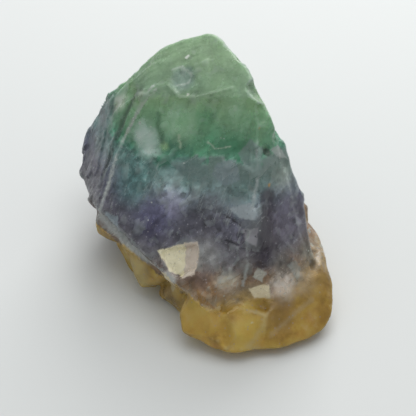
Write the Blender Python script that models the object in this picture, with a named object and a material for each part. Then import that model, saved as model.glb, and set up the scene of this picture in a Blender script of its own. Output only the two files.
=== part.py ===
"""A rough octahedron of colour-zoned fluorite, grown together with the yellow crust that it rests on.

Everything is one stone. Its flat faces are cut with planes: each plane stands square to a pole, which is a
compass bearing and a rise above the horizon, at a stated reach from the heart of the crystal. The faces of
the octahedron share one set of crystal axes, and the fractures that broke it have bearings of their own.
Bearings are degrees from the front (-Y), positive towards the right (+X). Lengths are millimetres, and the
finished stone is scaled to metres. The origin is under the middle of the stone, on the surface it rests on.
"""

import math
import random

import bmesh
import bpy
from mathutils import Matrix, Vector, noise
from mathutils.kdtree import KDTree

MM = 0.001

# Driving dimensions of the crystal
HEART = Vector((0.0, 4.0, 20.0))
ROUGH_BLOCK = 160.0
UP_AXIS_BEARING, UP_AXIS_RISE = 62.0, 80.4
FRONT_AXIS_BEARING, FRONT_AXIS_RISE = 3.5, -5.0

# Each face of the octahedron: its side of the up, front and left axes, and its reach from the heart
OCTAHEDRON = {
    "front_left": ((1, 1, 1), 9.6),
    "front_right": ((1, 1, -1), 17.8),
    "back_left": ((1, -1, 1), 30.0),
    "back_right": ((1, -1, -1), 25.0),
    "under_front_left": ((-1, 1, 1), 19.6),
    "under_front_right": ((-1, 1, -1), 32.0),
    "under_back_left": ((-1, -1, 1), 28.4),
    "under_back_right": ((-1, -1, -1), 27.0),
}

# Each fracture: the bearing and rise of its pole, and its reach from the heart
FRACTURES = {
    "broken_apex": (-51.0, 58.0, 15.8),
    "blunt_tip": (170.0, 50.0, 30.3),
    "apex_back": (-158.1, 38.9, 29.4),
    "shoulder_back": (-142.7, 31.4, 28.1),
    "left_upper": (-79.6, 44.1, 19.1),
    "left": (-73.7, 33.6, 18.0),
    "left_lower": (-76.1, 25.9, 18.6),
    "left_back": (-120.8, 20.1, 28.5),
    "left_tip": (-100.3, -0.3, 28.1),
    "left_corner": (-74.0, -32.1, 22.2),
    "under_left": (-55.0, -32.4, 18.7),
    "front_toe": (8.0, 14.0, 19.4),
    "front_under": (4.0, -40.0, 28.8),
    "back": (176.0, 10.0, 22.0),
    "floor": (0.0, -90.0, 21.0),
}

# The right side is stepped: the tall upper part stops further in than the foot below the ledge.
# The foot is a layer of its own, drawn in a little everywhere but on its own right side
UPPER_RIGHT = {
    "apex_right": (120.8, 16.0, 16.7),
    "right_upper": (110.9, 11.8, 14.6),
    "right_middle": (107.6, 8.3, 13.7),
}
LOWER_RIGHT = {
    "ledge": (62.0, 66.0, 17.7),
    "right_low": (113.8, 11.8, 15.1),
    "right_foot": (102.6, 3.5, 17.3),
}
FOOT_INSET = 0.4

# Crust lumps that show in front: the corners that each one is stretched over
BLOCKS = {
    "front_left": (
        (-2.0, -17.3, 12.1), (-4.7, -16.4, 8.4), (-5.8, -18.5, 6.1), (-4.9, -20.8, 3.9), (-1.6, -22.0, 3.1),
        (1.0, -23.7, 2.4), (3.6, -24.7, 2.4), (2.0, -23.8, 5.0), (2.6, -20.4, 8.8), (-0.6, -21.4, 6.4),
        (2.0, -12.0, 8.0), (-4.0, -12.0, 5.0), (-2.0, -13.0, 0.0), (0.0, -16.5, 0.0), (4.0, -16.5, 0.0),
    ),
    "front_right": (
        (5.5, -19.8, 9.8), (3.4, -20.3, 8.9), (8.2, -20.0, 9.2), (11.2, -20.1, 7.9), (11.6, -21.4, 6.8),
        (10.6, -23.0, 4.3), (8.9, -24.2, 2.4), (6.6, -24.9, 2.4), (3.2, -24.9, 2.4), (2.6, -22.9, 5.7),
        (5.4, -24.1, 5.6), (5.0, -13.0, 9.0), (11.0, -13.0, 6.0), (9.0, -16.5, 0.0), (3.0, -16.5, 0.0),
    ),
    "right_slope": (
        (12.0, -19.3, 8.2), (15.8, -19.3, 6.4), (18.4, -14.6, 8.8), (22.1, -8.6, 10.2), (23.2, -3.8, 9.8),
        (24.4, -8.8, 7.1), (25.2, -12.2, 5.4), (24.7, -16.4, 3.6), (22.8, -19.2, 2.0), (18.3, -21.8, 2.0),
        (13.5, -23.7, 2.0), (9.5, -24.0, 2.0), (11.0, -10.0, 9.0), (14.0, 0.0, 9.0), (11.0, -16.0, 0.0),
        (19.5, -14.0, 0.0), (22.0, 0.0, 0.0), (22.6, 1.5, 7.5),
    ),
    "left_hanging": (
        (-18.6, -0.6, 10.6), (-16.3, -2.9, 8.2), (-15.0, -6.4, 5.6), (-13.6, -7.3, 3.2), (-10.8, -7.4, 3.0),
        (-9.6, -8.2, 5.4), (-8.0, -10.6, 9.4), (-13.0, -5.6, 11.0), (-8.0, 0.0, 8.0), (-14.0, 3.0, 4.0),
        (-8.0, 0.0, 1.5), (-14.0, 0.0, 2.0),
    ),
    "left_low": (
        (-6.0, -13.6, 8.4), (-6.2, -12.6, 3.2), (-9.8, -7.6, 1.2), (-6.0, -11.0, 0.0), (-2.0, -14.0, 0.0),
        (-9.0, -3.0, 6.0), (-8.0, -4.0, 0.0), (0.0, -8.0, 8.0), (0.0, -6.0, 0.0),
    ),
}

# Crust lumps round the rest of the foot: middle, half sizes, facets and the seed that scatters them
LUMPS = (
    ((15.9, -2.5, 5.0), (6.5, 11.0, 9.0), 18, 14),
    ((10.0, 12.0, 4.0), (9.6, 10.0, 7.6), 17, 29),
    ((-8.0, 5.0, 4.0), (10.0, 10.0, 7.0), 17, 26),
    ((-18.2, 4.4, 11.2), (4.6, 5.4, 4.4), 15, 20),
)

# A flat-floored bite out of the front left face, above its lower edge: how deep it is, and its walls, each
# as a turn in the face (degrees from rightwards, positive up the slope) and a reach from the bite's middle
BITE_MIDDLE = (-4.5, -12.0, 15.0)
BITE_FLOORS = ((-8.0, 1.0), (10.0, 0.9))
BITE_WALLS = ((127.0, 2.6), (24.0, 2.7), (-50.0, 2.5), (-118.0, 3.6))
BITE_OPEN = 9.0

# Chips scooped out of the stone: a point near the surface, the pole that each faces, its spread and depth
CHIPS = {
    "apex_shell": ((-5.0, 13.7, 40.0), (-45.0, 58.0), 3.0, 0.7),
    "cream_patch": ((12.9, -17.3, 12.3), (40.0, 32.0), 2.2, 0.6),
    "ridge_hole": ((10.9, -1.6, 34.6), (30.0, 20.0), 1.1, 0.9),
    "flake_scar": ((9.6, -7.4, 30.4), (-10.0, 40.0), 4.0, 0.6),
    "lower_scar": ((9.0, -16.0, 20.4), (-10.0, 40.0), 3.6, 0.6),
    "back_shell": ((-17.0, 22.0, 30.0), (180.0, 20.0), 6.0, 1.2),
    "back_low": ((-4.0, 27.0, 12.0), (165.0, 0.0), 5.0, 1.0),
    "back_right_shell": ((14.0, 12.0, 26.0), (125.0, 25.0), 5.0, 0.9),
}

# Edges that are chipped along their length: the corners they run through and the number of chips
CHIPPED_EDGES = {
    "right_ridge": (((10.4, 0.1, 39.4), (9.6, -6.7, 31.3), (9.6, -14.5, 22.8), (8.1, -20.7, 14.8)), 12),
    "right_side": (((7.0, 11.5, 44.9), (13.8, -0.5, 33.1), (18.9, -2.1, 22.8)), 8),
    "back_edge": (((-0.6, 21.8, 45.2), (-16.5, 21.9, 33.3), (-25.2, 19.9, 21.5), (-26.6, 15.1, 14.5)), 12),
}
CHIP_SPREAD = (0.8, 1.8)
CHIP_DEPTH = (0.15, 0.4)
CHIP_SEED = 41
RIM_RAGGED, RIM_LENGTH = 0.25, 1.6

# Surface of the finished stone
VOXEL = 0.45
WELD = 0.03
SWELL, SWELL_LENGTH = 0.5, 9.0
GRAIN, GRAIN_LENGTH = 0.22, 2.6
STEP_HEIGHT, STEP_LENGTH = 0.55, 4.6
CRUST_TOP = 9.0
TRIANGLE_BUDGET = 10800

# Looks: the purple-grey that the zones of green, purple and yellow average to, with a waxy sheen
FLUORITE_COLOUR = (0.17, 0.19, 0.21, 1.0)
FLUORITE_ROUGHNESS = 0.4
FLUORITE_IOR = 1.434


def pole(bearing, rise):
    """The unit vector that points along a compass bearing and rises above the horizon."""
    b = math.radians(bearing)
    r = math.radians(rise)
    return Vector((math.sin(b) * math.cos(r), -math.cos(b) * math.cos(r), math.sin(r)))


def crystal_axes():
    """The octahedron's three square axes: towards its upper, front and left corners."""
    up = pole(UP_AXIS_BEARING, UP_AXIS_RISE)
    front = pole(FRONT_AXIS_BEARING, FRONT_AXIS_RISE)
    front = (front - up * front.dot(up)).normalized()
    return up, front, front.cross(up)


def octahedron_planes():
    """Every face of the octahedron as a normal and a reach."""
    axes = crystal_axes()
    planes = []
    for signs, reach in OCTAHEDRON.values():
        normal = Vector()
        for axis, sign in zip(axes, signs):
            normal += axis * sign
        planes.append((normal.normalized(), reach))
    return planes


def fracture_planes(fractures):
    """Named fractures as normals and reaches."""
    return [(pole(bearing, rise), reach) for bearing, rise, reach in fractures.values()]


def mesh_object(name, bm):
    """A new object that holds the bmesh, in millimetres until the stone is finished."""
    mesh = bpy.data.meshes.new(name)
    bm.to_mesh(mesh)
    bm.free()
    piece = bpy.data.objects.new(name, mesh)
    bpy.context.scene.collection.objects.link(piece)
    return piece


def cleaved(name, heart, planes):
    """A convex block about the heart, cut out of a cube by planes of a normal and a reach."""
    bm = bmesh.new()
    bmesh.ops.create_cube(bm, size=ROUGH_BLOCK, matrix=Matrix.Translation(heart))
    for normal, reach in planes:
        everything = bm.verts[:] + bm.edges[:] + bm.faces[:]
        cut = bmesh.ops.bisect_plane(
            bm, geom=everything, plane_co=heart + normal * reach, plane_no=normal, clear_outer=True
        )
        rim = [e for e in cut["geom_cut"] if isinstance(e, bmesh.types.BMEdge)]
        if rim:
            bmesh.ops.contextual_create(bm, geom=rim)
    bmesh.ops.recalc_face_normals(bm, faces=bm.faces)
    return mesh_object(name, bm)


def stretched(name, corners):
    """The smallest convex block that holds every corner."""
    bm = bmesh.new()
    for corner in corners:
        bm.verts.new(corner)
    hull = bmesh.ops.convex_hull(bm, input=bm.verts[:])
    spare = {v for v in hull["geom_interior"] + hull["geom_unused"] if isinstance(v, bmesh.types.BMVert)}
    bmesh.ops.delete(bm, geom=list(spare), context="VERTS")
    bmesh.ops.recalc_face_normals(bm, faces=bm.faces)
    return mesh_object(name, bm)


def bite(face):
    """The block that the bite takes out: two floors that meet in a crease, and walls square to the face."""
    rightwards = Vector((-face.y, face.x, 0.0)).normalized()
    up_slope = face.cross(rightwards)
    planes = [(face, BITE_OPEN)]
    for lean, depth in BITE_FLOORS:
        tilt = math.radians(lean)
        planes.append((-face * math.cos(tilt) + rightwards * math.sin(tilt), depth))
    for turn, reach in BITE_WALLS:
        along = math.radians(turn)
        planes.append((rightwards * math.cos(along) + up_slope * math.sin(along), reach))
    return cleaved("bite", Vector(BITE_MIDDLE), planes)


def lump(name, middle, half_sizes, facets, seed):
    """A blocky rounded lump: facets scattered evenly round an ellipsoid, each a little in or out of it."""
    rng = random.Random(seed)
    golden_turn = math.pi * (3.0 - math.sqrt(5.0))
    planes = []
    for i in range(facets):
        height = 1.0 - 2.0 * (i + 0.5) / facets
        turn = i * golden_turn + seed
        across = math.sqrt(1.0 - height * height)
        normal = Vector((math.cos(turn) * across, math.sin(turn) * across, height))
        normal += Vector((rng.uniform(-0.25, 0.25), rng.uniform(-0.25, 0.25), rng.uniform(-0.25, 0.25)))
        normal.normalize()
        reach = Vector([part * half for part, half in zip(normal, half_sizes)]).length
        planes.append((normal, reach * rng.uniform(0.86, 1.0)))
    return cleaved(name, Vector(middle), planes)


def apply_modifiers(piece):
    """Replace the object's mesh with what its modifiers make of it."""
    depsgraph = bpy.context.evaluated_depsgraph_get()
    mesh = bpy.data.meshes.new_from_object(piece.evaluated_get(depsgraph))
    old = piece.data
    piece.modifiers.clear()
    piece.data = mesh
    bpy.data.meshes.remove(old)


def fuse(stone, other, operation="UNION"):
    """Join another solid to the stone, or take it away, and drop it."""
    joint = stone.modifiers.new("fuse", "BOOLEAN")
    joint.operation = operation
    joint.solver = "EXACT"
    joint.object = other
    apply_modifiers(stone)
    bpy.data.objects.remove(other, do_unlink=True)


def drawn_in(planes, inset):
    """The same planes, each nearer to the heart."""
    return [(normal, reach - inset) for normal, reach in planes]


def remeshed(stone):
    """Cover the stone with an even net of small quads, which closes over the joints between the lumps."""
    net = stone.modifiers.new("net", "REMESH")
    net.mode = "VOXEL"
    net.voxel_size = VOXEL
    apply_modifiers(stone)


def smooth_step(low, high, value):
    """0 below low, 1 above high and an even curve between them."""
    x = min(max((value - low) / (high - low), 0.0), 1.0)
    return x * x * (3.0 - 2.0 * x)


def roughened(stone, growth_faces):
    """Push every point along its normal: gentle swells, cleavage steps on the fractures, and fine grain."""
    front_left, front_right, back_left = growth_faces
    across_left = (front_left - back_left).normalized()
    mesh = stone.data
    moved = []
    for vertex in mesh.vertices:
        p = vertex.co
        n = vertex.normal
        flat = max(n.dot(front_left), n.dot(front_right))
        broken = 1.0 - 0.75 * smooth_step(0.93, 0.985, flat)
        crust = 1.0 - smooth_step(CRUST_TOP, CRUST_TOP + 5.0, p.z)
        swell = SWELL * noise.noise(p / SWELL_LENGTH)
        grain = GRAIN * noise.noise(p / GRAIN_LENGTH) * (1.0 + 0.6 * crust)
        turn = p.dot(across_left) / STEP_LENGTH + 0.15 * noise.noise(p / 7.0)
        along = turn - math.floor(turn)
        step = STEP_HEIGHT * (smooth_step(0.82, 1.0, along) - along + 0.5)
        stepped = smooth_step(-0.1, 0.3, noise.noise(p / 12.0 + Vector((40.0, 0.0, 0.0)))) * (1.0 - crust)
        moved.append(p + n * broken * (swell + grain + step * stepped))
    for vertex, place in zip(mesh.vertices, moved):
        vertex.co = place


def scooped(mesh, tree, place, facing, spread, depth):
    """Press a ball into the surface: as deep as the depth and, on a flat, about as wide as the spread."""
    curve = (spread * spread + depth * depth) / (2.0 * depth)
    middle = place + facing * (curve - depth)
    for _, index, _ in tree.find_range(place, 2.5 * spread):
        vertex = mesh.vertices[index]
        spoke = vertex.co - middle
        ragged = curve + RIM_RAGGED * noise.noise(vertex.co / RIM_LENGTH)
        if 0.0 < spoke.length < ragged:
            vertex.co = middle + spoke.normalized() * ragged


def chipped(stone):
    """Knock the named chips out of the stone, then the small ones along its edges."""
    mesh = stone.data
    tree = KDTree(len(mesh.vertices))
    for vertex in mesh.vertices:
        tree.insert(vertex.co, vertex.index)
    tree.balance()
    for near, (bearing, rise), spread, depth in CHIPS.values():
        place, _, _ = tree.find(near)
        scooped(mesh, tree, place, pole(bearing, rise), spread, depth)
    rng = random.Random(CHIP_SEED)
    for corners, count in CHIPPED_EDGES.values():
        for _ in range(count):
            leg = rng.randrange(len(corners) - 1)
            near = Vector(corners[leg]).lerp(Vector(corners[leg + 1]), rng.random())
            facing = (near - HEART).normalized()
            facing += Vector((rng.uniform(-0.3, 0.3), rng.uniform(-0.3, 0.3), rng.uniform(-0.3, 0.3)))
            facing.normalize()
            around = [co for co, _, _ in tree.find_range(near, 3.0)]
            if around:
                outermost = max(around, key=facing.dot)
                scooped(mesh, tree, outermost, facing, rng.uniform(*CHIP_SPREAD), rng.uniform(*CHIP_DEPTH))


def thinned(stone):
    """Merge the small quads into as few triangles as the budget allows, which leaves the flats broad."""
    triangles = sum(len(face.vertices) - 2 for face in stone.data.polygons)
    thin = stone.modifiers.new("thin", "DECIMATE")
    thin.ratio = TRIANGLE_BUDGET / triangles
    apply_modifiers(stone)


def without_crumbs(bm):
    """Drop every small body that shares no edge with the stone."""
    left_over = set(bm.faces)
    bodies = []
    while left_over:
        body = [left_over.pop()]
        for face in body:
            for edge in face.edges:
                for other in edge.link_faces:
                    if other in left_over:
                        left_over.remove(other)
                        body.append(other)
        bodies.append(body)
    bodies.sort(key=len)
    for crumb in bodies[:-1]:
        bmesh.ops.delete(bm, geom=crumb, context="FACES")


def seated(stone):
    """Cut the underside flat, centre the stone over the origin and turn millimetres into metres."""
    bm = bmesh.new()
    bm.from_mesh(stone.data)
    everything = bm.verts[:] + bm.edges[:] + bm.faces[:]
    cut = bmesh.ops.bisect_plane(bm, geom=everything, dist=WELD, plane_no=(0, 0, -1), clear_outer=True)
    rim = [e for e in cut["geom_cut"] if isinstance(e, bmesh.types.BMEdge)]
    bmesh.ops.contextual_create(bm, geom=rim)
    bmesh.ops.remove_doubles(bm, verts=bm.verts, dist=WELD)
    without_crumbs(bm)
    for vertex in bm.verts:
        if vertex.co.z < WELD:
            vertex.co.z = 0.0
    bmesh.ops.triangulate(bm, faces=bm.faces)
    bmesh.ops.recalc_face_normals(bm, faces=bm.faces)
    xs = [v.co.x for v in bm.verts]
    ys = [v.co.y for v in bm.verts]
    middle = Vector(((min(xs) + max(xs)) / 2.0, (min(ys) + max(ys)) / 2.0, 0.0))
    bmesh.ops.translate(bm, verts=bm.verts, vec=-middle)
    bmesh.ops.scale(bm, verts=bm.verts, vec=(MM, MM, MM))
    bm.to_mesh(stone.data)
    bm.free()


def fluorite():
    """The stone's one material."""
    material = bpy.data.materials.new("fluorite")
    material.use_nodes = True
    surface = material.node_tree.nodes["Principled BSDF"]
    surface.inputs["Base Color"].default_value = FLUORITE_COLOUR
    surface.inputs["Roughness"].default_value = FLUORITE_ROUGHNESS
    surface.inputs["Metallic"].default_value = 0.0
    surface.inputs["IOR"].default_value = FLUORITE_IOR
    return material


def grown():
    """The whole stone in millimetres, with its heart still at the measured place."""
    octahedron = octahedron_planes()
    shared = octahedron + fracture_planes(FRACTURES)
    stone = cleaved("fluorite_crystal", HEART, shared + fracture_planes(UPPER_RIGHT))
    fuse(stone, cleaved("foot", HEART, drawn_in(shared, FOOT_INSET) + fracture_planes(LOWER_RIGHT)))
    fuse(stone, bite(octahedron[0][0]), "DIFFERENCE")
    for name, corners in BLOCKS.items():
        fuse(stone, stretched(name, corners))
    for number, (middle, half_sizes, facets, seed) in enumerate(LUMPS):
        fuse(stone, lump(f"lump_{number}", middle, half_sizes, facets, seed))
    remeshed(stone)
    roughened(stone, [normal for normal, reach in octahedron[:3]])
    chipped(stone)
    thinned(stone)
    return stone


def main():
    for old in list(bpy.data.objects):
        bpy.data.objects.remove(old, do_unlink=True)
    stone = grown()
    seated(stone)
    stone.data.materials.clear()
    stone.data.materials.append(fluorite())


main()
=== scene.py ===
# %% [markdown]
# # A rough octahedron of colour-zoned fluorite
# The real object is one broken crystal of fluorite, grown on a crust of honey-yellow fluorite. The solid
# model already has its flat growth faces, its fractures, its lumps and its larger chips. This script gives
# the stone the finish of real fluorite: fine cleavage steps, a waxy translucent body, bands of colour and
# frosted edges.

# %% Load the solid model
import math

import bmesh
import bpy
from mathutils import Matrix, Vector


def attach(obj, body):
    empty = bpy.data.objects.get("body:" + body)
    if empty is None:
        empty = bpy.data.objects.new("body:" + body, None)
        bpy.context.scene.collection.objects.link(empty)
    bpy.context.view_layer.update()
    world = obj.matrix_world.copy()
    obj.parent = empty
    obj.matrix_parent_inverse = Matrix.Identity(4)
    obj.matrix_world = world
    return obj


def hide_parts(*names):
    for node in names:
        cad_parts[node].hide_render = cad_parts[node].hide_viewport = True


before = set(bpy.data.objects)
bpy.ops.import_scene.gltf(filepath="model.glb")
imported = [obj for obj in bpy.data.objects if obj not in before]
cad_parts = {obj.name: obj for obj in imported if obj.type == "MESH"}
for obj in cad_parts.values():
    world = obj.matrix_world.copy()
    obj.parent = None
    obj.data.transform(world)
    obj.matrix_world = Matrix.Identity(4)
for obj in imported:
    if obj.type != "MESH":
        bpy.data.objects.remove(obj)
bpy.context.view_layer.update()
MM = 0.001

# %% [markdown]
# ## Camera
# The photograph looks down on the stone from the front, about as steeply as a person at a table does,
# through a long lens. Everything is aimed at a point in the middle of the crystal. Places on the stone are
# measured in millimetres from a point that lies a little off the middle of the model, and one vector
# carries the difference.

# %% Camera
MEASURED_FROM = Vector((-0.868, 2.681, 0.0))
CAMERA_RISE = 42.0
CAMERA_DISTANCE = 360.0
AIM_HEIGHT = 18.0
PIXELS_PER_MM = 5.0
FRAME_PIXELS = 416
SENSOR = 36.0


def pole(bearing, rise):
    """The unit vector along a compass bearing from the front, rising above the horizon, both in degrees."""
    b = math.radians(bearing)
    r = math.radians(rise)
    return Vector((math.sin(b) * math.cos(r), -math.cos(b) * math.cos(r), math.sin(r)))


aim = (Vector((0.0, 0.0, AIM_HEIGHT)) - MEASURED_FROM) * MM
towards_camera = pole(0.0, CAMERA_RISE)
camera = bpy.data.objects.new("camera", bpy.data.cameras.new("camera"))
bpy.context.scene.collection.objects.link(camera)
camera.location = aim + towards_camera * CAMERA_DISTANCE * MM
camera.rotation_euler = (-towards_camera).to_track_quat("-Z", "Y").to_euler()
camera.data.sensor_width = SENSOR
camera.data.lens = SENSOR * PIXELS_PER_MM * CAMERA_DISTANCE / FRAME_PIXELS
camera.data.clip_start = 0.01
bpy.context.scene.camera = camera
print("lens:", round(camera.data.lens, 1), "mm")

# %% [markdown]
# ## Small helpers
# Colours are written as the hex values that a picture editor shows, and one function turns them into the
# linear values that Blender wants. One more function adds a node to a tree, with its settings and its
# links.


# %% Colour and node helpers
def linear(hex_colour):
    """An sRGB hex colour as linear red, green, blue and alpha."""
    channels = []
    for i in (1, 3, 5):
        c = int(hex_colour[i:i + 2], 16) / 255.0
        channels.append(c / 12.92 if c <= 0.04045 else ((c + 0.055) / 1.055) ** 2.4)
    return (*channels, 1.0)


def add(tree, kind, inputs=None, **settings):
    """Add a node. inputs maps a socket's name or number to a value or to another node's output."""
    made = tree.nodes.new(kind)
    for name, value in settings.items():
        setattr(made, name, value)
    for key, value in (inputs or {}).items():
        if isinstance(value, bpy.types.NodeSocket):
            tree.links.new(value, made.inputs[key])
        else:
            made.inputs[key].default_value = value
    return made


# %% [markdown]
# ## Patterns that both shape and colour follow
# On real fluorite the colour and the relief have the same causes. Growth layers are flat, so one direction,
# square to the layers, tells which zone a point is in. Cleavage runs along the octahedron's faces, so
# broken surfaces are made of small flats with straight edges. Geometry and shader trees share their maths,
# noise and Voronoi nodes, so each pattern is written once here and used in both, and a raised flake always
# gets its own colour.

# %% Crystal directions
# The way up through the growth layers, and the poles of the faces by their bearing and rise
LAYERS = Vector((-0.1435, 0.294, 0.945))
FACE_LEFT = pole(-34.2, 36.9)
FACE_RIGHT = pole(50.1, 25.9)
FACE_BACK = pole(-132.9, 44.5)
UNDER_LEFT, UNDER_LEFT_REACH = pole(-47.4, -32.6), 6.6

# The ways across and up the left face, and the way that its upper ridge runs
SLOPE_ACROSS = Vector((-FACE_LEFT.y, FACE_LEFT.x, 0.0)).normalized()
SLOPE_UP = FACE_LEFT.cross(SLOPE_ACROSS)
RIDGE = Vector((0.43, 0.53, 0.83)).normalized()


def measured(tree, place):
    """Places on the stone in millimetres from the measuring point."""
    return add(tree, "ShaderNodeVectorMath", {
        0: place, 1: (1 / MM, 1 / MM, 1 / MM), 2: MEASURED_FROM}, operation="MULTIPLY_ADD").outputs[0]


def along(tree, coords, directions):
    """Coordinates along three directions of one's own instead of X, Y and Z."""
    spans = []
    for way in directions:
        span = add(tree, "ShaderNodeVectorMath", {0: coords, 1: way}, operation="DOT_PRODUCT")
        spans.append(span.outputs["Value"])
    return add(tree, "ShaderNodeCombineXYZ", dict(enumerate(spans))).outputs[0]


def shifted(tree, coords, seed):
    """The same pattern read from another place, so that each seed gives another one."""
    return add(tree, "ShaderNodeVectorMath", {
        0: coords, 1: (seed, 3.1 * seed, 1.7 * seed)}, operation="ADD").outputs[0]


# %% Shared patterns
def soft_step(tree, value, low, high, top=1.0):
    """0 where the value is below low, top above high, and an even curve between them."""
    limits = {"Value": value, "From Min": low, "From Max": high, "To Max": top}
    return add(tree, "ShaderNodeMapRange", limits, interpolation_type="SMOOTHSTEP").outputs[0]


def overlap(tree, *shares):
    """Several patterns or strengths multiplied: strong only where all of them are."""
    whole = shares[0]
    for share in shares[1:]:
        whole = add(tree, "ShaderNodeMath", {0: whole, 1: share}, operation="MULTIPLY").outputs[0]
    return whole


def strongest(tree, shares):
    """The largest of several patterns at each point."""
    most = shares[0]
    for share in shares[1:]:
        most = add(tree, "ShaderNodeMath", {0: most, 1: share}, operation="MAXIMUM").outputs[0]
    return most


def inverse(tree, share):
    """1 where a pattern is 0, and 0 where it is 1."""
    return add(tree, "ShaderNodeMath", {0: 1.0, 1: share}, operation="SUBTRACT").outputs[0]


def centred(tree, share):
    """A pattern from 0 to 1 moved to run from -0.5 to 0.5."""
    return add(tree, "ShaderNodeMath", {0: share, 1: 0.5}, operation="SUBTRACT").outputs[0]


def patches(tree, coords, size, low, high, seed, detail=2.0):
    """Soft patches of a size in mm: 0 where the noise is below low, 1 above high."""
    cloud = add(tree, "ShaderNodeTexNoise", {
        "Vector": shifted(tree, coords, seed), "Scale": 1.0 / size, "Detail": detail}).outputs[0]
    return soft_step(tree, cloud, low, high)


def cleavage_cells(tree, coords, size, seed):
    """A random value for each of many angular cells, whose edges run along the cleavage planes."""
    skewed = along(tree, coords, (FACE_LEFT, FACE_RIGHT, FACE_BACK))
    cells = add(tree, "ShaderNodeTexVoronoi", {
        "Vector": shifted(tree, skewed, seed), "Scale": 1.0 / size}, distance="CHEBYCHEV")
    return add(tree, "ShaderNodeSeparateXYZ", {0: cells.outputs["Color"]}).outputs[0]


def beyond(tree, coords, facing, reach, edge):
    """1 past a plane that stands square to a direction at a reach, 0 short of it, with a soft edge."""
    out = add(tree, "ShaderNodeVectorMath", {0: coords, 1: facing}, operation="DOT_PRODUCT")
    return soft_step(tree, out.outputs["Value"], reach - edge, reach + edge)


def near(tree, coords, middle, radius, edge):
    """1 inside a ball about the middle, 0 outside it, with a soft edge, all in millimetres."""
    away = add(tree, "ShaderNodeVectorMath", {0: coords, 1: middle}, operation="DISTANCE").outputs["Value"]
    return soft_step(tree, away, radius + edge, max(radius - edge, 0.0))


def near_line(tree, coords, start, end, radius, edge):
    """1 along the line from start to end, 0 away from it, with a soft edge, all in millimetres."""
    span = Vector(end) - Vector(start)
    step = add(tree, "ShaderNodeVectorMath", {0: coords, 1: start}, operation="SUBTRACT").outputs[0]
    part = add(tree, "ShaderNodeVectorMath", {
        0: step, 1: span / span.length_squared}, operation="DOT_PRODUCT").outputs["Value"]
    share = add(tree, "ShaderNodeClamp", {0: part}).outputs[0]
    reached = add(tree, "ShaderNodeVectorMath", {0: span, "Scale": share}, operation="SCALE").outputs[0]
    away = add(tree, "ShaderNodeVectorMath", {0: step, 1: reached}, operation="DISTANCE").outputs["Value"]
    return soft_step(tree, away, radius + edge, max(radius - edge, 0.0))


def within(tree, coords, corners, depth, edge):
    """1 inside a flat angular patch of a depth, whose corners go anticlockwise as seen from outside."""
    points = [Vector(corner) for corner in corners]
    turned = points[1:] + points[:1]
    facing = sum((a.cross(b) for a, b in zip(points, turned)), Vector()).normalized()
    middle = sum(points, Vector()) / len(points)
    walls = [(facing, middle - facing * depth)]
    for a, b in zip(points, turned):
        walls.append((facing.cross(b - a).normalized(), a))
    inside = None
    for inward, place in walls:
        reach = add(tree, "ShaderNodeVectorMath", {0: coords, 1: inward}, operation="DOT_PRODUCT")
        gap = add(tree, "ShaderNodeMath", {
            0: reach.outputs["Value"], 1: inward.dot(place)}, operation="SUBTRACT").outputs[0]
        if inside is not None:
            gap = add(tree, "ShaderNodeMath", {0: inside, 1: gap}, operation="MINIMUM").outputs[0]
        inside = gap
    return soft_step(tree, inside, -edge, edge)


# %% Where the stone's own features lie
# Past the left edge the growth layers turn down: where that starts, how far it goes on, and how deep it goes
BEND_FROM, BEND_LENGTH, BEND_DROP = -14.0, 15.0, 12.0

# The height of the thin layer's torn upper edge, the size of its tears and how soft its rim is, all in mm
PLATE_TOP, PLATE_TEAR, PLATE_RIM = 30.6, 2.6, 0.4

# The line beside the right ridge that flakes lie along, and the random value above which a cell is a flake
FLAKED_LINE = ((10.2, -3.5, 33.0), (9.0, -17.0, 18.5))
FLAKES_ABOVE = 0.55

# The height at which the crust begins, and the height at which nothing else is left
CRUST_FROM, CRUST_FULL = 3.4, 1.6


def layer_height(tree, coords):
    """How far a point lies up the growth layers, in mm. The layers bend down past the left edge."""
    flat = add(tree, "ShaderNodeVectorMath", {0: coords, 1: LAYERS}, operation="DOT_PRODUCT")
    across = add(tree, "ShaderNodeSeparateXYZ", {0: coords}).outputs[0]
    bend = add(tree, "ShaderNodeMapRange", {
        "Value": across, "From Min": BEND_FROM, "From Max": BEND_FROM - BEND_LENGTH,
        "To Min": 0.0, "To Max": -BEND_DROP})
    return add(tree, "ShaderNodeMath", {
        0: flat.outputs["Value"], 1: bend.outputs[0]}, operation="ADD").outputs[0]


def plate(tree, coords, height):
    """The thin cleavage layer under the green window: 1 on it, 0 above its torn upper edge."""
    torn = cleavage_cells(tree, coords, size=PLATE_TEAR, seed=7.0)
    edge = add(tree, "ShaderNodeMath", {
        0: torn, 1: PLATE_TEAR, 2: height}, operation="MULTIPLY_ADD").outputs[0]
    return soft_step(tree, edge, PLATE_TOP, PLATE_TOP - PLATE_RIM)


def flaked(tree, coords):
    """Thin angular flakes that lie beside the right ridge, and here and there on the dark zone."""
    beside_ridge = near_line(tree, coords, *FLAKED_LINE, radius=2.4, edge=1.8)
    spots = patches(tree, coords, size=7.0, low=0.57, high=0.66, seed=11.0)
    flakes = add(tree, "ShaderNodeMath", {
        0: cleavage_cells(tree, coords, size=3.0, seed=2.0), 1: FLAKES_ABOVE}, operation="GREATER_THAN")
    return overlap(tree, flakes.outputs[0], strongest(tree, (beside_ridge, spots)))


def crust(tree, coords, height):
    """Where the honey crust is: below the lowest crystal layer, and under the crystal's left lower face."""
    low = soft_step(tree, height, CRUST_FROM, CRUST_FULL)
    return strongest(tree, (low, beyond(tree, coords, UNDER_LEFT, UNDER_LEFT_REACH, edge=0.3)))


# %% [markdown]
# ## A finer copy of the stone
# The solid model is made of triangles about a millimetre long. Under a close camera real fluorite shows
# steps and grain ten times finer. A voxel remesh lays an even net of small quads over a copy of the stone,
# so that there are enough points to carry that relief.

# %% Copy and remesh the stone
# Fine enough for the relief, with fewer than 200,000 triangles in all
NET_SIZE = 0.34 * MM


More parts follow.
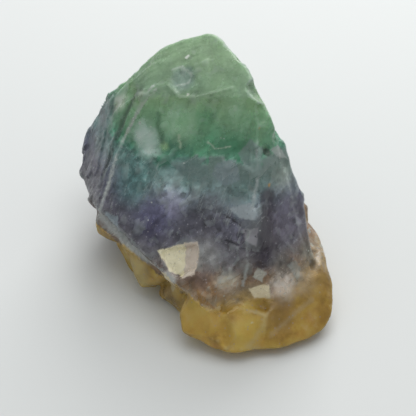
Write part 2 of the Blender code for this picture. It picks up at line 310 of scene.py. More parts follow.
def fine_copy(source, name):
    """A copy of a solid with its loose triangles joined and an even net of small quads laid over it."""
    bm = bmesh.new()
    bm.from_mesh(source.data)
    bmesh.ops.remove_doubles(bm, verts=bm.verts, dist=0.001 * MM)
    mesh = bpy.data.meshes.new(name)
    bm.to_mesh(mesh)
    bm.free()
    piece = bpy.data.objects.new(name, mesh)
    bpy.context.scene.collection.objects.link(piece)
    net = piece.modifiers.new("net", "REMESH")
    net.mode = "VOXEL"
    net.voxel_size = NET_SIZE
    return piece


def baked(piece):
    """Turn what the object's modifiers make into its plain mesh."""
    depsgraph = bpy.context.evaluated_depsgraph_get()
    mesh = bpy.data.meshes.new_from_object(piece.evaluated_get(depsgraph))
    piece.modifiers.clear()
    piece.data = mesh


stone = fine_copy(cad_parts["fluorite_crystal"], "fluorite_stone")
baked(stone)
print("net:", len(stone.data.vertices), "points,", len(stone.data.polygons), "quads")

# %% [markdown]
# ## Cleavage relief
# What repeats by a rule suits Geometry Nodes. This tree moves each point along its normal by several
# layers: the thin plate under the green window, flat-topped flakes, tilted chips, long straight steps
# across one cleavage direction, fine grain, a few crests and cracks, and coarse blocks where the left flank
# has broken off. It could be sculpted by hand, but a rule gives the same crisp edges everywhere. Each
# height is an input, so it can be changed on the modifier.

# %% Relief heights
RELIEF = {
    "Plate height": 0.24 * MM,
    "Flake height": 0.28 * MM,
    "Chip height": 0.13 * MM,
    "Step height": 0.10 * MM,
    "Grain height": 0.09 * MM,
    "Crest height": 0.35 * MM,
    "Block height": 0.5 * MM,
}

# How far apart the steps are, how often the grain and the steps' wobble repeat in a millimetre, and where the
# left flank's blocks begin
STEP_SPACING = 1.3
GRAIN_PER_MM, WOBBLE_PER_MM = 1.1, 0.22
FLANK_FROM, FLANK_FULL = -17.0, -20.0

# The stone lies on its flat underside, so the relief starts a little above it
BARE_FOOT, FULL_RELIEF = 0.2, 1.5

# Crests (above 0) and cracks or creases (below): the height of each one as a share of the crest height, the
# corners that it runs through, and its radius and softness
CRESTS = (
    (-0.8, ((-15.6, 13.8, 34.0), (-19.2, 8.0, 26.0), (-21.1, 6.0, 21.8)), 0.3, 0.6),
    (0.4, ((-10.9, 14.5, 37.6), (-14.5, 11.0, 32.7), (-18.0, 7.5, 26.3), (-21.7, 1.1, 16.5)), 0.2, 0.4),
    (-0.8, ((3.3, -9.0, 24.2), (6.2, -11.4, 23.8), (7.3, -12.4, 23.2)), 0.05, 0.4),
    (-0.8, ((3.5, -12.3, 20.7), (5.8, -13.8, 20.8)), 0.05, 0.4),
    (-0.9, ((2.1, -20.3, 8.8), (1.4, -22.0, 7.1), (1.6, -23.6, 5.2)), 0.1, 0.8),
    (0.6, ((-7.9, 13.6, 38.5), (-5.5, 10.0, 38.3), (-1.6, 8.9, 39.5), (4.7, 7.7, 42.4)), 0.0, 0.6),
)


# %% Relief layers
def along_corners(tree, coords, corners, radius, edge):
    """1 along a line that runs through several corners, 0 away from it."""
    runs = [near_line(tree, coords, a, b, radius, edge) for a, b in zip(corners, corners[1:])]
    return strongest(tree, runs)


def cleavage_steps(tree, coords):
    """Long straight steps across one cleavage direction, like the teeth of a saw."""
    across = add(tree, "ShaderNodeVectorMath", {
        0: coords, 1: (FACE_LEFT - FACE_BACK).normalized() / STEP_SPACING}, operation="DOT_PRODUCT")
    wobble = add(tree, "ShaderNodeTexNoise", {
        "Vector": coords, "Scale": WOBBLE_PER_MM, "Detail": 1.0}).outputs[0]
    turns = add(tree, "ShaderNodeMath", {0: across.outputs["Value"], 1: wobble}, operation="ADD").outputs[0]
    return centred(tree, add(tree, "ShaderNodeMath", {0: turns}, operation="FRACT").outputs[0])


def crests_and_cracks(tree, coords):
    """All the crests and cracks, each one times its own height."""
    lines = 0.0
    for rise, corners, radius, edge in CRESTS:
        run = along_corners(tree, coords, corners, radius, edge)
        lines = add(tree, "ShaderNodeMath", {0: run, 1: rise, 2: lines}, operation="MULTIPLY_ADD").outputs[0]
    return lines


def relief_layers(tree, coords, normal):
    """The pattern of each kind of relief, under the name of the height that it takes."""
    height = layer_height(tree, coords)
    crystal = inverse(tree, crust(tree, coords, height))
    on_left_face = beyond(tree, normal, FACE_LEFT, reach=0.9, edge=0.05)
    tilts = centred(tree, cleavage_cells(tree, coords, size=1.1, seed=5.0))
    chipped = patches(tree, coords, size=6.0, low=0.42, high=0.6, seed=1.0)
    stepped = patches(tree, coords, size=9.0, low=0.5, high=0.62, seed=4.0)
    grain = add(tree, "ShaderNodeTexNoise", {
        "Vector": coords, "Scale": GRAIN_PER_MM, "Detail": 3.0}).outputs[0]
    blocks = centred(tree, cleavage_cells(tree, coords, size=5.5, seed=21.0))
    across = add(tree, "ShaderNodeSeparateXYZ", {0: coords}).outputs[0]
    return {
        "Plate height": overlap(tree, plate(tree, coords, height), on_left_face),
        "Flake height": overlap(tree, flaked(tree, coords), crystal),
        "Chip height": overlap(tree, tilts, chipped, crystal),
        "Step height": overlap(tree, cleavage_steps(tree, coords), stepped, crystal),
        "Grain height": centred(tree, grain),
        "Crest height": crests_and_cracks(tree, coords),
        "Block height": overlap(tree, blocks, soft_step(tree, across, FLANK_FROM, FLANK_FULL), crystal),
    }


# %% Relief tree
def relief_tree(material):
    """A node group that gives the stone its fine cleavage relief and its material."""
    tree = bpy.data.node_groups.new("cleavage_relief", "GeometryNodeTree")
    tree.interface.new_socket("Geometry", in_out="INPUT", socket_type="NodeSocketGeometry")
    for name, value in RELIEF.items():
        socket = tree.interface.new_socket(name, in_out="INPUT", socket_type="NodeSocketFloat")
        socket.default_value = value
    tree.interface.new_socket("Geometry", in_out="OUTPUT", socket_type="NodeSocketGeometry")
    given = add(tree, "NodeGroupInput").outputs
    normal = add(tree, "GeometryNodeInputNormal").outputs[0]
    coords = measured(tree, add(tree, "GeometryNodeInputPosition").outputs[0])

    total = 0.0
    for name, layer in relief_layers(tree, coords, normal).items():
        total = add(tree, "ShaderNodeMath", {
            0: layer, 1: given[name], 2: total}, operation="MULTIPLY_ADD").outputs[0]
    above_floor = add(tree, "ShaderNodeSeparateXYZ", {0: coords}).outputs[2]
    total = overlap(tree, total, soft_step(tree, above_floor, BARE_FOOT, FULL_RELIEF))
    offset = add(tree, "ShaderNodeVectorMath", {0: normal, "Scale": total}, operation="SCALE").outputs[0]
    moved = add(tree, "GeometryNodeSetPosition", {"Geometry": given["Geometry"], "Offset": offset}).outputs[0]
    real = add(tree, "GeometryNodeRealizeInstances", {0: moved}).outputs[0]
    dressed = add(tree, "GeometryNodeSetMaterial", {0: real, "Material": material}).outputs[0]
    add(tree, "NodeGroupOutput", {0: dressed})
    return tree


# %% [markdown]
# ## Fluorite
# Fluorite is calcium fluoride. Its refractive index of 1.434 is low for a gem, so its gloss is weak and
# glassy, and broken surfaces look waxy because countless tiny steps scatter the light. Traces of other
# elements colour each growth layer: honey yellow at the root, a milky band, purple, teal, and green at the
# tip.

# %% Colour zones
# Heights up the growth layers in millimetres, and the colour that the light brings back from there
ZONES = (
    (0.0, "#b08a4c"),
    (3.0, "#ab9260"),
    (4.6, "#9c8a70"),
    (6.6, "#92765a"),
    (9.0, "#807068"),
    (11.5, "#7c7b80"),
    (14.5, "#656470"),
    (19.0, "#626474"),
    (22.0, "#78868e"),
    (25.0, "#6f8e8b"),
    (27.6, "#668a84"),
    (28.8, "#4a8a72"),
    (33.0, "#80b690"),
    (37.0, "#96c69a"),
    (39.4, "#94ba8e"),
    (41.0, "#86a688"),
    (46.0, "#93b18d"),
)
LOWEST, HIGHEST = ZONES[0][0], ZONES[-1][0]

# How often the boundaries drift in a millimetre, and how far drift and tears carry them
DRIFT_PER_MM, DRIFT_REACH, TEAR_REACH = 0.12, 6.0, 1.2

# The honey crust, from its darkest patches to its palest
HONEY = ((0.0, "#b08c40"), (0.35, "#d4ae50"), (0.6, "#eac35e"), (0.8, "#f2ce6e"), (1.0, "#f8de9c"))

# %% [markdown]
# ## Marks of this one stone
# Cloudy lights, veins, flakes and stains lie where they happened to form, so no rule gives them. They are
# placed one by one, in four kinds, and each keeps its real size in millimetres: soft marks, angular patches,
# lines and tiny dots.
# Some of them are painted light: glow inside the green window, highlights on edges, and shade in a little
# hole and under the crystal's lower left edge.

# %% Soft marks
# The place, the radius and the softness of each in mm, its colour and how strongly it covers
MARKS = (
    # The shell-like chip at the top and the glow on the ledge under it
    ((-4.9, 13.9, 40.0), 2.6, 1.0, "#849c94", 0.7),
    ((2.7, 8.5, 41.5), 3.6, 2.4, "#8cae86", 0.5),
    # Inside the green window: milky clouds, deeper green places, and lighter places painted as the glow of
    # light through the stone
    ((-5.5, 6.8, 34.8), 3.0, 2.2, "#bce8c6", 0.7),
    ((-0.6, 5.2, 36.9), 2.0, 1.8, "#62a67a", 0.6),
    ((5.2, 4.8, 40.5), 2.2, 1.6, "#a8d2a8", 0.6),
    ((5.8, 2.2, 38.8), 2.4, 1.6, "#a6d6ae", 0.5),
    ((0.8, 0.5, 32.7), 3.4, 2.6, "#6abc90", 0.7),
    ((5.4, -1.2, 33.9), 3.0, 2.2, "#50a276", 0.6),
    ((-13.6, 4.2, 26.2), 3.0, 2.8, "#5f8380", 0.7),
    ((-13.1, 8.0, 31.2), 2.0, 1.6, "#daf2e8", 0.85),
    ((-11.6, 6.0, 29.6), 2.2, 1.8, "#daf2e8", 0.85),
    ((-8.5, 4.6, 30.3), 0.9, 0.5, "#a6d29c", 0.7),
    # The left flank: slate and teal, with paler places near the top
    ((-21.0, 18.3, 27.9), 4.2, 3.0, "#66737c", 0.75),
    ((-22.0, 14.0, 23.5), 2.6, 2.0, "#6c8284", 0.6),
    ((-23.5, 11.3, 19.6), 3.0, 2.6, "#716e7a", 0.6),
    ((-17.9, 16.2, 31.8), 1.8, 1.2, "#d4e0ce", 0.9),
    ((-13.3, 13.7, 36.1), 0.9, 0.6, "#b8c6b4", 0.7),
    # Teal and blue under the window, milky blue and violet beside the deep indigo
    ((-5.3, 0.5, 28.1), 2.2, 1.8, "#557c7c", 0.6),
    ((-15.1, 2.0, 22.4), 3.4, 2.6, "#517c7c", 0.7),
    ((-7.1, -1.2, 25.0), 2.8, 1.6, "#a8c4c4", 0.65),
    ((-7.0, -3.2, 22.6), 2.8, 1.8, "#b2b0ca", 0.65),
    ((-10.5, -4.2, 19.4), 3.6, 2.6, "#686888", 0.8),
    ((-11.3, -5.4, 17.0), 2.0, 1.6, "#39354e", 0.7),
    # Smoky patches on the grey middle of the left face
    ((2.5, -2.8, 29.3), 4.0, 3.0, "#84929a", 0.55),
    ((-0.6, -8.4, 21.9), 4.0, 3.0, "#55545e", 0.55),
    ((1.4, -6.9, 25.0), 2.4, 2.0, "#767b80", 0.4),
    ((-0.6, -12.7, 17.1), 3.0, 2.4, "#b0b1ae", 0.55),
    ((-1.6, -15.0, 13.4), 2.4, 1.8, "#7c6252", 0.6),
    ((2.2, -16.8, 12.6), 2.2, 1.6, "#ac8450", 0.7),
    # The right face, from grey-green above to near black and then milky white
    ((14.6, -1.8, 30.1), 3.4, 2.6, "#aeb6ac", 0.6),
    ((11.6, -12.3, 20.8), 4.6, 2.6, "#3f3843", 0.8),
    ((16.0, -7.0, 20.6), 4.4, 3.0, "#706c7e", 0.7),
    ((19.6, -8.2, 13.6), 2.4, 2.0, "#5c6764", 0.6),
    ((21.6, -7.6, 12.0), 2.2, 1.6, "#7d7f78", 0.7),
    ((14.6, -13.6, 14.2), 3.0, 2.0, "#6a6b66", 0.6),
    ((14.9, -15.7, 10.7), 2.8, 1.6, "#f2e8de", 0.8),
    ((3.7, -17.4, 14.0), 2.0, 1.4, "#e2d8c6", 0.8),
    ((19.2, -13.0, 9.6), 2.6, 1.8, "#c4b7a6", 0.55),
    # Brown and amber places in the crust, one of them darkened as painted shade under the crystal's lower
    # left edge
    ((22.0, -9.6, 9.0), 3.2, 2.4, "#a2875a", 0.6),
    ((14.4, -19.3, 7.0), 3.4, 2.2, "#a07a40", 0.7),
    ((21.6, -16.0, 5.2), 4.2, 2.8, "#b48c3a", 0.5),
    ((7.4, -22.9, 6.4), 3.2, 1.8, "#ffdf72", 0.7),
    ((-2.2, -20.4, 6.9), 3.0, 1.8, "#fad676", 0.6),
    # Brown crust darkened by painted shade under the overhang of the crystal's lower left edge
    ((-8.0, -10.8, 4.2), 3.0, 2.0, "#7c5c38", 0.7),
    ((-14.2, -6.2, 6.4), 3.0, 2.0, "#eedb9c", 0.7),
)

# %% Angular patches
# Flakes, the floor of the bite and one painted highlight: their corners, anticlockwise as seen from outside,
# the colour, and how strongly it covers
PLANES = (
    (((-9.9, -8.6, 14.4), (-7.4, -12.4, 12.2), (-4.6, -13.6, 11.8), (-4.3, -9.6, 17.4)), "#fff5d4", 0.95),
    (((-4.3, -9.6, 17.4), (-4.6, -13.6, 11.8), (-2.4, -14.4, 13.4), (-1.5, -12.0, 16.8),
      (-1.9, -10.6, 18.8)), "#e6d8c8", 0.9),
    (((7.9, -17.0, 11.9), (9.2, -17.3, 9.9), (12.2, -17.1, 9.7), (11.9, -16.4, 12.4), (10.4, -16.4, 12.6)),
     "#f4e9c8", 0.85),
    (((8.6, -16.2, 14.5), (10.5, -16.1, 13.2), (11.5, -15.7, 15.4), (9.7, -15.2, 16.2)), "#c8cac0", 0.75),
    (((15.5, -12.6, 14.3), (17.6, -13.0, 10.6), (18.3, -11.1, 11.7), (17.3, -10.8, 13.9)), "#a3aaa6", 0.5),
    # A painted highlight: the whitish patch by the right edge
    (((12.0, -1.4, 34.6), (13.2, -1.3, 32.6), (15.8, 0.4, 30.6), (13.7, 0.3, 34.2)), "#b3bbb8", 0.75),
    (((5.8, -1.9, 33.9), (7.9, -5.2, 31.5), (10.4, -4.9, 32.4), (10.6, -2.6, 35.7), (8.2, -0.8, 36.6)),
     "#8ea39f", 0.7),
    (((4.1, -8.4, 25.5), (6.2, -10.5, 24.8), (9.2, -11.9, 25.5), (9.8, -10.6, 26.6), (8.1, -9.2, 27.5)),
     "#a9b4b9", 0.8),
    (((6.8, -12.2, 23.4), (7.2, -13.3, 21.5), (9.4, -14.0, 20.8), (9.8, -12.4, 24.0)), "#aaa9b0", 0.7),
    (((-7.2, 1.6, 28.2), (-2.3, -3.1, 26.4), (0.8, -3.4, 28.2), (-0.6, 0.2, 31.4), (-6.3, 2.3, 29.3)),
     "#6d8484", 0.45),
    (((0.9, -2.6, 29.2), (3.3, -5.3, 28.3), (6.4, -5.4, 30.3), (5.4, -2.4, 32.9), (1.9, -1.5, 31.2)),
     "#8a99a1", 0.5),
    (((-20.6, 0.3, 16.6), (-17.8, -1.4, 11.2), (-15.6, -3.2, 11.0), (-17.9, -1.0, 17.0)), "#a0b0b8", 0.6),
    (((-2.0, -16.9, 11.9), (-2.3, -18.3, 10.3), (1.8, -20.1, 9.0)), "#8e6626", 0.7),
)
PLANE_DEPTH, PLANE_EDGE = 1.6, 0.18

# %% Lines
# Along edges and cracks: the corners that each one runs through, its radius and softness in mm, its colour,
# and how strongly it covers
LINES = (
    (((-13.6, 15.0, 35.8), (-16.4, 12.6, 32.0), (-19.2, 8.4, 26.0), (-21.4, 6.0, 21.4)),
     0.6, 0.9, "#3e4c49", 0.7),
    (((-10.9, 14.5, 37.6), (-14.5, 11.0, 32.7), (-18.0, 7.5, 26.3), (-19.6, 4.3, 21.7), (-21.7, 1.1, 16.5)),
     0.3, 0.35, "#ccd3ce", 0.85),
    (((-10.3, 13.6, 37.4), (-13.3, 11.6, 34.6), (-15.5, 9.8, 31.0)), 0.12, 0.3, "#c4ccc6", 0.75),
    (((-9.9, 9.6, 34.6), (-9.9, 7.8, 32.8), (-9.0, 5.4, 31.0)), 0.4, 0.6, "#4f7c60", 0.6),
    # Frost along the lower left edge, painted paler still as light falling on this strip
    (((-22.1, 2.2, 14.6), (-17.4, -1.2, 11.2), (-12.4, -6.8, 10.8), (-8.0, -12.4, 11.2), (-6.9, -13.5, 11.0)),
     0.9, 0.6, "#c6cac8", 0.9),
    (((-21.0, -0.6, 14.6), (-12.2, -8.2, 11.6), (-7.6, -12.6, 10.6)), 0.1, 0.3, "#5a5f68", 0.6),
    (((-8.4, -12.2, 10.6), (-7.9, -12.4, 10.2), (-7.4, -11.8, 8.8), (-7.0, -11.2, 7.5)),
     1.2, 0.3, "#f8e8c0", 0.9),
    (((-7.1, 16.3, 40.2), (-5.2, 16.2, 41.0), (-3.2, 14.2, 40.8), (-3.9, 12.9, 39.5), (-6.1, 12.9, 38.8)),
     0.05, 0.4, "#c6d4ca", 0.7),
    (((11.6, -7.4, 27.4), (10.6, -12.0, 21.8), (10.4, -14.4, 17.6)), 1.9, 0.8, "#352e3c", 0.7),
    (((9.4, -2.9, 35.6), (9.6, -5.7, 31.7), (8.5, -10.2, 26.7), (7.7, -13.2, 21.6), (7.6, -15.7, 17.3),
      (6.8, -16.8, 12.9)), 0.12, 0.45, "#b6bebd", 0.7),
    (((0.0, 1.8, 33.7), (1.4, 0.4, 33.1), (4.3, -0.3, 34.4)), 0.05, 0.25, "#d3e6cf", 0.8),
    (((-5.7, 5.0, 32.7), (-5.4, 3.3, 31.0)), 0.15, 0.3, "#c3dcbf", 0.8),
    # A painted highlight along the curved edge of the ledge under the top
    (((-7.9, 13.6, 38.5), (-5.5, 10.0, 38.3), (-1.6, 8.9, 39.5), (4.7, 7.7, 42.4)),
     0.05, 0.4, "#bcd3b8", 0.5),
    (((3.3, -9.0, 24.2), (6.2, -11.4, 23.8), (7.3, -12.4, 23.2)), 0.05, 0.3, "#2c2c36", 0.8),
    (((3.5, -12.3, 20.7), (5.8, -13.8, 20.8)), 0.05, 0.3, "#2c2c36", 0.8),
    (((4.6, -21.2, 8.2), (4.2, -23.8, 4.6)), 0.5, 1.0, "#a98436", 0.5),
    (((8.6, -19.8, 9.2), (11.3, -20.1, 8.0), (10.7, -21.9, 6.5), (8.0, -24.3, 3.6)),
     0.5, 0.5, "#f0dc9e", 0.6),
    (((12.3, -22.2, 4.5), (17.3, -18.0, 6.6), (20.6, -14.9, 6.9)), 0.2, 0.7, "#d8c49c", 0.5),
)

# %% Dots
# Tiny painted glints, stains, and the painted shade of the little hole by the ridge: the place, the radius,
# the colour, and how strongly it covers
DOTS = (
    ((-4.2, 17.8, 42.3), 0.4, "#f2f6ee", 0.95),
    ((-12.5, 1.7, 24.2), 0.3, "#e6eef0", 0.9),
    ((-3.9, 9.9, 39.0), 0.3, "#e8f0e2", 0.9),
    ((-13.5, 9.7, 32.0), 0.35, "#d8e2dc", 0.7),
    ((-13.6, -1.3, 18.4), 0.45, "#a8743c", 0.9),
    ((12.0, -5.9, 29.2), 0.35, "#c09a58", 0.9),
    # Painted shade of the little hole by the ridge, which the relief does not cut
    ((11.4, -2.2, 34.5), 0.9, "#38493e", 0.8),
    ((10.0, -0.4, 38.9), 0.4, "#b4a25e", 0.7),
    ((9.9, -1.3, 38.0), 0.3, "#b4a25e", 0.7),
    ((8.6, -21.8, 7.6), 0.3, "#fff4cc", 0.9),
)
DOT_EDGE = 0.15


# %% Colour functions
def ramp(tree, share, stops):
    """Colours that run into each other, from pairs of a place between 0 and 1 and a hex colour."""
    made = add(tree, "ShaderNodeValToRGB", {0: share})
    elements = made.color_ramp.elements
    while len(elements) < len(stops):
        elements.new(0.5)
    for element, (place, colour) in zip(elements, stops):
        element.position = place
        element.color = linear(colour)
    return made.outputs[0]


def zone_colour(tree, coords, height):
    """The colour of the growth layer, with boundaries that waver and tear along the cleavage."""
    drift = add(tree, "ShaderNodeTexNoise", {
        "Vector": coords, "Scale": DRIFT_PER_MM, "Detail": 3.0}).outputs[0]
    tears = cleavage_cells(tree, coords, size=1.6, seed=3.0)
    for pattern, reach in ((drift, DRIFT_REACH), (tears, TEAR_REACH)):
        height = add(tree, "ShaderNodeMath", {
            0: centred(tree, pattern), 1: reach, 2: height}, operation="MULTIPLY_ADD").outputs[0]
    share = add(tree, "ShaderNodeMapRange", {"Value": height, "From Min": LOWEST, "From Max": HIGHEST})
    stops = [((level - LOWEST) / (HIGHEST - LOWEST), colour) for level, colour in ZONES]
    return ramp(tree, share.outputs[0], stops)


def ragged(tree, coords, size, reach):
    """The coordinates pushed about by noise, so that marks drawn with them get torn edges."""
    push = add(tree, "ShaderNodeTexNoise", {"Vector": coords, "Scale": 1.0 / size, "Detail": 3.0})
    push = add(tree, "ShaderNodeVectorMath", {
        0: push.outputs["Color"], 1: (0.5, 0.5, 0.5)}, operation="SUBTRACT").outputs[0]
    return add(tree, "ShaderNodeVectorMath", {
        0: push, 1: (reach, reach, reach), 2: coords}, operation="MULTIPLY_ADD").outputs[0]


def specks(tree, coords, spacing, chance, radius, seed):
    """Tiny round specks a spacing apart, in mm, of which only a share by chance is there."""
    cells = add(tree, "ShaderNodeTexVoronoi", {"Vector": shifted(tree, coords, seed), "Scale": 1.0 / spacing})
    there = add(tree, "ShaderNodeSeparateXYZ", {0: cells.outputs["Color"]}).outputs[0]
    there = add(tree, "ShaderNodeMath", {0: there, 1: chance}, operation="LESS_THAN").outputs[0]
    reach = radius / spacing
    return overlap(tree, there, soft_step(tree, cells.outputs["Distance"], 1.3 * reach, 0.5 * reach))


def scratches(tree, coords, spacing, length, seed):
    """Thin broken scratches down the left face, a spacing apart and up to a length long, in mm."""
    across = FACE_LEFT.cross(RIDGE)
    ways = (across / spacing, RIDGE / length, FACE_LEFT / length)
    grooves = add(tree, "ShaderNodeTexNoise", {
        "Vector": along(tree, shifted(tree, coords, seed), ways), "Scale": 1.0, "Detail": 1.0}).outputs[0]
    return soft_step(tree, grooves, 0.62, 0.68)


# %% [markdown]
# ## Putting the finish together
# The colour is built as a painter would build it: the zones first, and then one wash over another. A wash
# is a pattern that says where it covers, what it covers with, and how the two are mixed. An image would be
# quicker, but washes made of patterns stay sharp at any distance and reach all the way round the stone.

# %% Washes inside the body
# Heights up the layers between which the stone grows clear, and between which the window ends at the tip
CLEAR_FROM, CLEAR_FULL = 29.5, 31.5
TIP_FROM, TIP_FULL = 39.5, 42.0

# How often two kinds of cloud repeat in a millimetre, and the size of one streak in mm
CLOUDS_PER_MM, BROAD_PER_MM = 0.22, 0.35
STREAK_WIDTH, STREAK_LENGTH, STREAK_DEPTH = 1.4, 9.0, 7.0

# The thin layer under the window has a grey-green of its own, right of this place
PLATE_COLOUR = "#718680"
PLATE_LEFT_END = -6.0


def painted(tree, share, strength, colour):
    """A wash that covers with one colour."""
    return overlap(tree, share, strength), linear(colour), "MIX"


def body_washes(tree, coords, height, window, milky):
    """The honey crust, the soft marks, the streaks of painted glow in the window, and clouds and flecks that
    break up every zone.
    """
    loose = ragged(tree, coords, size=1.4, reach=2.0)
    cloud = add(tree, "ShaderNodeTexNoise", {
        "Vector": coords, "Scale": CLOUDS_PER_MM, "Detail": 5.0, "Roughness": 0.6}).outputs[0]
    honey = ramp(tree, soft_step(tree, cloud, 0.25, 0.75), HONEY)
    washes = [(crust(tree, loose, height), honey, "MIX")]
    for middle, radius, edge, tint, strength in MARKS:
        washes.append(painted(tree, near(tree, loose, middle, radius, edge), strength, tint))

    # Streaks of painted glow up the clear window, where light passes through the stone
    ways = (SLOPE_ACROSS / STREAK_WIDTH, SLOPE_UP / STREAK_LENGTH, FACE_LEFT / STREAK_DEPTH)
    streaks = add(tree, "ShaderNodeTexNoise", {
        "Vector": along(tree, coords, ways), "Scale": 1.0, "Detail": 3.0}).outputs[0]
    washes.append((overlap(tree, window, 0.35), streaks, "OVERLAY"))
    broad = add(tree, "ShaderNodeTexNoise", {
        "Vector": coords, "Scale": BROAD_PER_MM, "Detail": 6.0, "Roughness": 0.7}).outputs[0]
    lively = soft_step(tree, milky, 0.0, 1.0, top=0.55)
    washes.append((strongest(tree, (lively, 0.2)), soft_step(tree, broad, 0.2, 0.8), "OVERLAY"))
    flecked = patches(tree, coords, size=5.0, low=0.42, high=0.6, seed=6.0)
    flecks = cleavage_cells(tree, coords, size=1.0, seed=9.0)
    washes.append((overlap(tree, flecked, milky, 0.35), flecks, "OVERLAY"))

    under = soft_step(tree, height, 23.0, 28.0, top=0.8)
    rightwards = beyond(tree, coords, Vector((1.0, 0.0, 0.0)), PLATE_LEFT_END, edge=2.5)
    washes.append(painted(tree, overlap(tree, plate(tree, coords, height), under), rightwards, PLATE_COLOUR))
    return washes


# %% Washes on the surface
# Frost on bare crystal, and a painted highlight on the sharp rims of the crust
FROST, HONEY_RIM_HIGHLIGHT = "#a3aeac", "#e8cf8e"

# Wear, painted glints, painted shade in each tiny pit, and pale specks, the ends of the scratched left ridge,
# and the heights between which glints set in
SCRATCH, GLINT, PIT_SHADE, PALE_SPECK = "#b8c1bf", "#b9b6c0", "#3a4442", "#dfe6df"
SCRATCHED_RIDGE = ((-10.9, 14.5, 37.6), (-21.7, 1.1, 16.5))
GLINTS_FROM, GLINTS_FULL = 24.0, 18.0


def drawn_washes(tree, coords):
    """The angular patches and the lines."""
    washes = []
    for corners, tint, strength in PLANES:
        washes.append(painted(tree, within(tree, coords, corners, PLANE_DEPTH, PLANE_EDGE), strength, tint))
    for corners, radius, edge, tint, strength in LINES:
        washes.append(painted(tree, along_corners(tree, coords, corners, radius, edge), strength, tint))
    return washes


def wear_and_painted_light_washes(tree, coords, height, milky):
    """Scratches, painted glints in the dark zone, painted shade in each tiny pit of the milky ones, and pale
    specks everywhere.
    """
    scored = strongest(tree, (
        near_line(tree, coords, *SCRATCHED_RIDGE, radius=1.4, edge=1.4),
        overlap(tree, patches(tree, coords, size=8.0, low=0.46, high=0.6, seed=17.0), milky)))
    lines = scratches(tree, coords, spacing=0.22, length=2.2, seed=14.0)
    glints = specks(tree, coords, spacing=0.9, chance=0.35, radius=0.16, seed=5.0)
    pit_shade = specks(tree, coords, spacing=1.3, chance=0.3, radius=0.2, seed=8.0)
    pale = specks(tree, coords, spacing=2.4, chance=0.35, radius=0.17, seed=12.0)
    return [
        painted(tree, overlap(tree, lines, scored), 0.4, SCRATCH),
        # Painted glints in the dark zone, then painted shade in each tiny pit of the milky zones
        painted(tree, overlap(tree, glints, soft_step(tree, height, GLINTS_FROM, GLINTS_FULL)), 0.6, GLINT),
        painted(tree, overlap(tree, pit_shade, milky), 0.5, PIT_SHADE),
        painted(tree, pale, 0.8, PALE_SPECK),
    ]


def dot_washes(tree, coords):
    """The tiny round marks."""
    washes = []
    for middle, radius, tint, strength in DOTS:
        washes.append(painted(tree, near(tree, coords, middle, radius, DOT_EDGE), strength, tint))
    return washes


# %% The material
# Fluorite's own index of refraction, and an absorption that warms the light on its way through
FLUORITE_IOR = 1.434
ABSORPTION_COLOUR, ABSORPTION_DENSITY = "#f0dfa8", 45.0

# Scattering just under the surface gives the waxy look: how much of it, and how far the light travels
SCATTER_SHARE, SCATTER_REACH = 0.45, 4.0 * MM

# The share of the light that milky and clear stone let through, and how rough bare and frosted faces are
MILKY_SHARE, CLEAR_SHARE = 0.25, 0.6
BARE_ROUGHNESS, FROST_ROUGHNESS = 0.27, 0.8

# The sharpness of an edge at which frost, and the painted highlight on the crust's rims, begins, and at which
# it is full
FROST_AND_HIGHLIGHT_FROM, FROST_AND_HIGHLIGHT_FULL = 0.515, 0.56

# Grain too fine for the net: how often it repeats in a millimetre, and its depth
FINE_PER_MM, FINE_DEPTH = 2.6, 0.14 * MM


def finish(tree, shader, coords, clear, frosting):
    """Set what the eye reads as gloss, wax and depth: see-through share, roughness, grain and scattering."""
    glassy = add(tree, "ShaderNodeMath", {0: clear, 1: frosting}, operation="SUBTRACT").outputs[0]
    see_through = add(tree, "ShaderNodeMapRange", {
        "Value": glassy, "To Min": MILKY_SHARE, "To Max": CLEAR_SHARE}).outputs[0]
    rough = add(tree, "ShaderNodeMapRange", {
        "Value": frosting, "To Min": BARE_ROUGHNESS, "To Max": FROST_ROUGHNESS}).outputs[0]
    fine = add(tree, "ShaderNodeTexNoise", {
        "Vector": coords, "Scale": FINE_PER_MM, "Detail": 4.0, "Roughness": 0.65}).outputs[0]
    bump = add(tree, "ShaderNodeBump", {"Strength": 0.6, "Distance": FINE_DEPTH, "Height": fine}).outputs[0]
    tree.links.new(see_through, shader.inputs["Transmission Weight"])
    tree.links.new(rough, shader.inputs["Roughness"])
    tree.links.new(bump, shader.inputs["Normal"])
    shader.inputs["IOR"].default_value = FLUORITE_IOR
    shader.inputs["Subsurface Weight"].default_value = SCATTER_SHARE
    shader.inputs["Subsurface Radius"].default_value = (1.0, 1.0, 1.0)
    shader.inputs["Subsurface Scale"].default_value = SCATTER_REACH
    absorption = add(tree, "ShaderNodeVolumeAbsorption", {
        "Color": linear(ABSORPTION_COLOUR), "Density": ABSORPTION_DENSITY})
    tree.links.new(absorption.outputs[0], tree.nodes["Material Output"].inputs["Volume"])


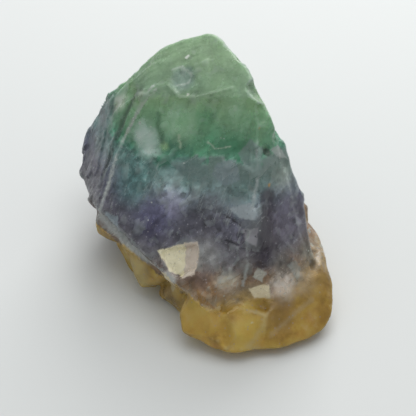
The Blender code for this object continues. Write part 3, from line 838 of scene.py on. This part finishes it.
def fluorite():
    """Zoned fluorite: see-through where it is clear, waxy where it is milky, frosted on edges and flakes."""
    material = bpy.data.materials.new("fluorite_zoned")
    material.use_nodes = True
    tree = material.node_tree
    shader = tree.nodes["Principled BSDF"]
    coords = measured(tree, add(tree, "ShaderNodeTexCoord").outputs["Object"])
    tight = ragged(tree, coords, size=0.8, reach=0.9)
    height = layer_height(tree, coords)
    root = crust(tree, coords, height)
    under_tip = soft_step(tree, height, TIP_FULL, TIP_FROM)
    window = overlap(tree, soft_step(tree, height, CLEAR_FROM, CLEAR_FULL), under_tip)
    clear = strongest(tree, (soft_step(tree, height, CLEAR_FROM, CLEAR_FULL, top=0.85), root))
    milky = inverse(tree, clear)

    pointed = add(tree, "ShaderNodeNewGeometry").outputs["Pointiness"]
    edges = soft_step(tree, pointed, FROST_AND_HIGHLIGHT_FROM, FROST_AND_HIGHLIGHT_FULL, top=0.55)
    frosting = overlap(tree, inverse(tree, root), strongest(tree, (
        edges,
        overlap(tree, flaked(tree, coords), 0.3),
        overlap(tree, patches(tree, coords, size=2.2, low=0.56, high=0.7, seed=2.0, detail=5.0), 0.25),
    )))

    washes = body_washes(tree, coords, height, window, milky)
    washes.append((frosting, linear(FROST), "MIX"))
    # A painted highlight on the sharp rims of the honey crust
    washes.append(painted(tree, edges, root, HONEY_RIM_HIGHLIGHT))
    washes += drawn_washes(tree, tight)
    washes += wear_and_painted_light_washes(tree, coords, height, milky)
    washes += dot_washes(tree, tight)
    colour = zone_colour(tree, coords, height)
    for share, over, blend in washes:
        colour = add(tree, "ShaderNodeMix", {
            0: share, 6: colour, 7: over}, data_type="RGBA", blend_type=blend).outputs[2]
    tree.links.new(colour, shader.inputs["Base Color"])

    finish(tree, shader, coords, strongest(tree, (overlap(tree, window, 0.7), root)), frosting)
    print("washes:", len(washes), "and", len(tree.nodes), "nodes")
    return material


# %% [markdown]
# ## Dressing the stone
# The relief goes onto the stone as a modifier, and what it makes then becomes a plain mesh. The dressed stone
# moves with the part's one body and stands in for the solid crystal, which is hidden.

# %% Dress the stone
fluorite_zoned = fluorite()
relief = stone.modifiers.new("relief", "NODES")
relief.node_group = relief_tree(fluorite_zoned)
baked(stone)
stone.data.shade_smooth()
print("stone:", len(stone.data.polygons), "faces")
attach(stone, "root")
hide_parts("fluorite_crystal")

# %% [markdown]
# ## Floor and light
# The photograph was taken on white paper under large soft lamps. The stone's shadow falls towards the
# viewer and a little to the left, so the main lamp stands behind the stone, a little to its right. Uncoated
# paper has no gloss to speak of, so the floor is rough and nearly without a highlight.

# %% Floor
FLOOR_SIZE = 3.0
PAPER, PAPER_ROUGHNESS, PAPER_GLOSS = "#c8cac9", 0.9, 0.1


def pale_floor():
    """A plain white paper floor."""
    bm = bmesh.new()
    bmesh.ops.create_grid(bm, x_segments=1, y_segments=1, size=FLOOR_SIZE)
    mesh = bpy.data.meshes.new("paper_floor")
    bm.to_mesh(mesh)
    bm.free()
    floor = bpy.data.objects.new("paper_floor", mesh)
    bpy.context.scene.collection.objects.link(floor)
    material = bpy.data.materials.new("white_paper")
    material.use_nodes = True
    surface = material.node_tree.nodes["Principled BSDF"]
    surface.inputs["Base Color"].default_value = linear(PAPER)
    surface.inputs["Roughness"].default_value = PAPER_ROUGHNESS
    surface.inputs["Specular IOR Level"].default_value = PAPER_GLOSS
    mesh.materials.append(material)
    return floor


pale_floor()

# %% Lights
SKY_COLOUR = "#f4f6f7"

# The sky's strength at the horizon and below, and straight above: the room is brightest overhead
SKY_LOW, SKY_HIGH = 0.17, 0.92

# Each lamp: its place, the point that it is turned to and its size, in metres, and its power in watts
LAMPS = {
    "key": ((0.09, 0.40, 0.30), (0.0, 0.0, 0.02), 0.30, 1.95),
    "top": ((0.05, 0.08, 0.6), (0.0, 0.0, 0.0), 0.5, 1.35),
}


def soft_lamp(name, place, target, size, power):
    """A square soft box at the place, turned to the target."""
    lamp = bpy.data.objects.new(name, bpy.data.lights.new(name, "AREA"))
    lamp.data.shape = "SQUARE"
    lamp.data.size = size
    lamp.data.energy = power
    lamp.location = place
    lamp.rotation_euler = (Vector(target) - Vector(place)).to_track_quat("-Z", "Y").to_euler()
    bpy.context.scene.collection.objects.link(lamp)
    return lamp


world = bpy.data.worlds.new("studio")
world.use_nodes = True
sky = world.node_tree.nodes["Background"]
sky.inputs["Color"].default_value = linear(SKY_COLOUR)
upward = add(world.node_tree, "ShaderNodeTexCoord").outputs["Generated"]
upward = add(world.node_tree, "ShaderNodeSeparateXYZ", {0: upward}).outputs[2]
strength = add(world.node_tree, "ShaderNodeMapRange", {
    "Value": upward, "To Min": SKY_LOW, "To Max": SKY_HIGH}).outputs[0]
world.node_tree.links.new(strength, sky.inputs["Strength"])
bpy.context.scene.world = world
for name, (place, target, size, power) in LAMPS.items():
    soft_lamp(name, place, target, size, power)
print("lamps:", ", ".join(LAMPS))
bpy.context.scene.view_settings.view_transform = "Standard"
